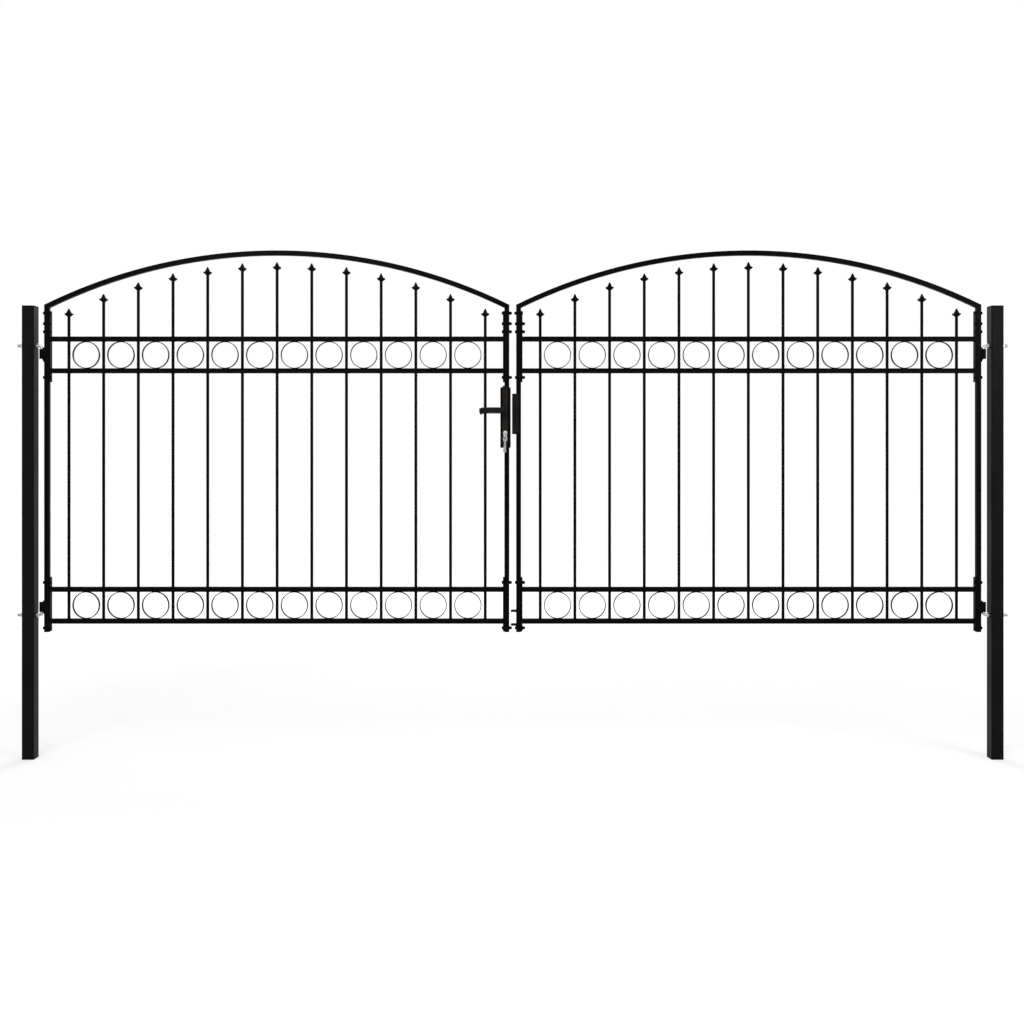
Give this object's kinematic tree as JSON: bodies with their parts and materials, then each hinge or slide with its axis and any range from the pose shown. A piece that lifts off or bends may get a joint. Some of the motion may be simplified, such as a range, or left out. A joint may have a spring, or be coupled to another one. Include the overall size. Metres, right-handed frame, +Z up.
{
  "type": "driveway gate",
  "caption": "Double-leaf arched steel driveway gate on square posts, with spear-headed round pickets, bands of rings, bent-bolt hinges and a lever lock with keys.",
  "frame": {"origin": "centre of the left post's foot", "axes": "+X to the right across the gate seen from the lever and key side that the picture shows, +Y through the gate away from that viewer, +Z up"},
  "size_m": [4.052, 0.12, 2.0768],
  "materials": {
    "post_coat": "satin charcoal powder coat",
    "frame_coat": "satin black powder coat",
    "lock_coat": "satin brown-black coat",
    "keep_coat": "satin olive-black coat",
    "black_plastic": "fine grained",
    "zinc": "bright zinc plated",
    "nickel": "nickel plated"
  },
  "bodies": {
    "posts": {"left_post": "post_coat", "right_post": "post_coat", "left_post_cap": "black_plastic", "right_post_cap": "black_plastic", "left_upper_hinge_bolt": "zinc", "left_lower_hinge_bolt": "zinc", "right_upper_hinge_bolt": "zinc", "right_lower_hinge_bolt": "zinc", "left_hinge_nuts": "zinc", "right_hinge_nuts": "zinc"},
    "left_leaf": {"left_arch": "frame_coat", "left_arch_legs": "frame_coat", "left_hinge_stile": "frame_coat", "left_lock_stile": "frame_coat", "left_panel": "frame_coat", "left_upper_hinge_lug": "frame_coat", "left_lower_hinge_lug": "frame_coat", "left_stile_plugs": "black_plastic", "lock_case": "frame_coat", "lock_forend": "nickel", "front_escutcheon": "lock_coat", "back_escutcheon": "lock_coat", "lock_cylinder": "nickel", "lock_key": "nickel", "key_ring": "nickel", "spare_keys": "nickel"},
    "right_leaf": {"right_arch": "frame_coat", "right_arch_legs": "frame_coat", "right_hinge_stile": "frame_coat", "right_lock_stile": "frame_coat", "right_panel": "frame_coat", "right_upper_hinge_lug": "frame_coat", "right_lower_hinge_lug": "frame_coat", "right_stile_plugs": "black_plastic", "lock_keep": "keep_coat", "drop_bolt_guides": "frame_coat"},
    "lever": {"front_lever": "lock_coat", "back_lever": "lock_coat", "lever_spindle": "zinc"}
  },
  "joints": [
    {"name": "left_leaf_swing", "type": "hinge", "parent": "posts", "child": "left_leaf", "pos_m": [0.049, 0, 0.586], "axis": [0, 0, 1], "range_deg": [0, 100]},
    {"name": "right_leaf_swing", "type": "hinge", "parent": "posts", "child": "right_leaf", "pos_m": [3.901, 0, 0.586], "axis": [0, 0, -1], "range_deg": [0, 100]},
    {"name": "lever_turn", "type": "hinge", "parent": "left_leaf", "child": "lever", "pos_m": [1.9445, 0, 1.423], "axis": [0, -1, 0], "range_deg": [0, 40], "stiffness_Nm_per_rad": 1, "springref_deg": -34.38}
  ]
}
